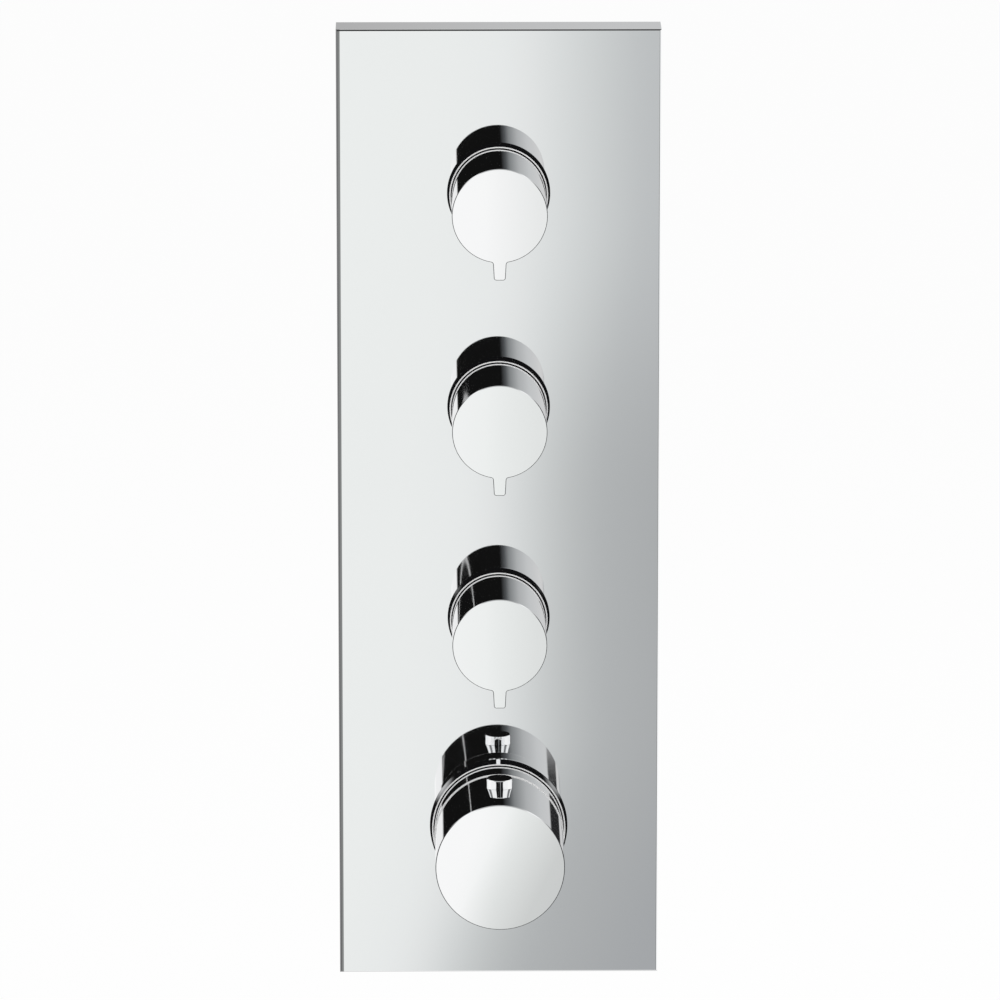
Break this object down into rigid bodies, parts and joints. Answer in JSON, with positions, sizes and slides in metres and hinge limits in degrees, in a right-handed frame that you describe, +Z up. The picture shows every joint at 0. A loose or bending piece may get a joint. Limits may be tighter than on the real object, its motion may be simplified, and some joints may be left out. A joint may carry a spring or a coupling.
{
  "type": "thermostatic shower valve",
  "caption": "Concealed shower valve: tall chrome wall plate with round stop knobs that have finger tabs, above a larger round thermostat knob with a safety button.",
  "frame": {"origin": "middle of the front plate's outline, on the finished wall", "axes": "+X right seen from the front, +Y into the wall, +Z up; the knobs face -Y"},
  "size_m": [0.12, 0.1545, 0.362],
  "materials": {
    "polished_chrome": "mirror-polished",
    "cast_brass": "as cast, blasted",
    "turned_brass": "fine-turned",
    "stainless_steel": "machined",
    "spring_steel": "drawn",
    "galvanised_steel": "zinc-plated sheet",
    "white_plastic": "moulded, fine matt",
    "black_plastic": "moulded, fine matt",
    "black_rubber": "moulded",
    "black_foam": "cut foam",
    "ceramic": "lapped"
  },
  "bodies": {
    "valve": {"front_plate": "polished_chrome", "plate_gasket": "black_foam", "mounting_frame": "galvanised_steel", "plate_clips": "spring_steel", "collar_seals": "black_rubber", "thermostat_collar": "polished_chrome", "thermostat_sleeve": "polished_chrome", "temperature_stop": "black_plastic", "thermostat_housing": "black_plastic", "thermostat_nut": "turned_brass", "thermostat_rings": "black_rubber", "hot_seat": "black_plastic", "return_spring": "spring_steel", "valve_body": "cast_brass", "gallery_plug": "turned_brass", "upper_bracket": "galvanised_steel", "lower_bracket": "galvanised_steel", "bracket_screws": "stainless_steel", "check_valve_bodies": "white_plastic", "inlet_strainers": "stainless_steel", "hot_check_spring": "spring_steel", "cold_check_spring": "spring_steel", "fixed_discs": "ceramic", "seat_seals": "black_rubber", "cartridge_rings": "black_rubber", "top_collar": "polished_chrome", "top_stop_cartridge": "turned_brass", "middle_collar": "polished_chrome", "middle_stop_cartridge": "turned_brass", "lower_collar": "polished_chrome", "lower_stop_cartridge": "turned_brass"},
    "thermostat_knob": {"thermostat_handle": "polished_chrome", "handle_carrier": "white_plastic", "handle_screw": "stainless_steel", "regulating_spindle": "turned_brass", "button_guide": "white_plastic", "button_spring": "spring_steel"},
    "button": {"safety_button": "polished_chrome"},
    "regulator": {"adjusting_nut": "turned_brass", "overload_plunger": "stainless_steel", "overload_spring": "spring_steel", "wax_element": "turned_brass", "shuttle": "black_plastic"},
    "hot_check": {"hot_poppet": "black_plastic"},
    "cold_check": {"cold_poppet": "black_plastic"},
    "top_stop": {"top_knob": "polished_chrome", "top_knob_adapter": "white_plastic", "top_knob_screw": "stainless_steel", "top_stop_spindle": "turned_brass", "top_moving_disc": "ceramic"},
    "middle_stop": {"middle_knob": "polished_chrome", "middle_knob_adapter": "white_plastic", "middle_knob_screw": "stainless_steel", "middle_stop_spindle": "turned_brass", "middle_moving_disc": "ceramic"},
    "lower_stop": {"lower_knob": "polished_chrome", "lower_knob_adapter": "white_plastic", "lower_knob_screw": "stainless_steel", "lower_stop_spindle": "turned_brass", "lower_moving_disc": "ceramic"}
  },
  "joints": [
    {"name": "top_knob_turn", "type": "hinge", "parent": "valve", "child": "top_stop", "pos_m": [0, 0, 0.1195], "axis": [0, -1, 0], "range_deg": [0, 90]},
    {"name": "middle_knob_turn", "type": "hinge", "parent": "valve", "child": "middle_stop", "pos_m": [0, 0, 0.0385], "axis": [0, -1, 0], "range_deg": [0, 90]},
    {"name": "lower_knob_turn", "type": "hinge", "parent": "valve", "child": "lower_stop", "pos_m": [0, 0, -0.0425], "axis": [0, -1, 0], "range_deg": [0, 90]},
    {"name": "thermostat_turn", "type": "hinge", "parent": "valve", "child": "thermostat_knob", "pos_m": [0, 0, -0.1235], "axis": [0, -1, 0], "range_deg": [-190, 75]},
    {"name": "regulator_slide", "type": "slide", "parent": "valve", "child": "regulator", "axis": [0, -1, 0], "range_m": [-0.0011, 0.00045], "deforming": ["return_spring"]},
    {"name": "button_press", "type": "slide", "parent": "thermostat_knob", "child": "button", "axis": [0, 0, -1], "range_m": [0, 0.0018], "stiffness_N_per_m": 800, "springref_m": -0.002, "deforming": ["button_spring"]},
    {"name": "hot_check_slide", "type": "slide", "parent": "valve", "child": "hot_check", "axis": [1, 0, 0], "range_m": [0, 0.003], "stiffness_N_per_m": 100, "springref_m": -0.003, "deforming": ["hot_check_spring"]},
    {"name": "cold_check_slide", "type": "slide", "parent": "valve", "child": "cold_check", "axis": [-1, 0, 0], "range_m": [0, 0.003], "stiffness_N_per_m": 100, "springref_m": -0.003, "deforming": ["cold_check_spring"]}
  ],
  "couplings": [
    {"joint": "regulator_slide", "follows": "thermostat_turn", "m_per_rad": 0.00031831}
  ]
}
